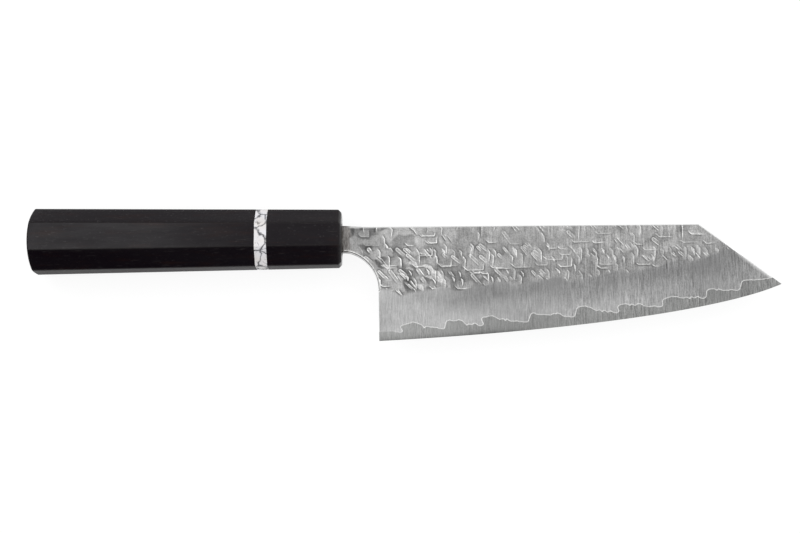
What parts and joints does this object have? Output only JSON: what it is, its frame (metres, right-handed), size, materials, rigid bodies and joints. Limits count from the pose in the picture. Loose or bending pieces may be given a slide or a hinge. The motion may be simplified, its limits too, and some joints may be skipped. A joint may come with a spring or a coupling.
{
  "type": "bunka knife",
  "caption": "Kitchen knife with a straight-backed, angle-pointed three-layer blade, hammered upper sides and a tapered eight-sided wooden handle with a stone spacer.",
  "frame": {"origin": "centre of the bounding box's bottom face; the knife lies on its left side with the blade's middle plane level", "axes": "+X from the butt to the tip, +Y from the edge to the spine, +Z out of the blade's right side"},
  "size_m": [0.309, 0.0558, 0.0224],
  "materials": {
    "core_steel": "fine upright brush lines, polished toward the edge",
    "cladding": "hammered and satin above, fine upright brush lines on the bevel",
    "ebony": "satin, oiled",
    "veined_stone": "polished, with thin dark veins",
    "dowel_wood": "raw",
    "sealant": "dull cured resin"
  },
  "bodies": {
    "root": {"core_steel": "core_steel", "cladding_left": "cladding", "cladding_right": "cladding", "ferrule": "ebony", "spacer_ring": "veined_stone", "handle_body": "ebony", "tang_dowel": "dowel_wood", "mouth_sealant": "sealant"}
  },
  "joints": []
}
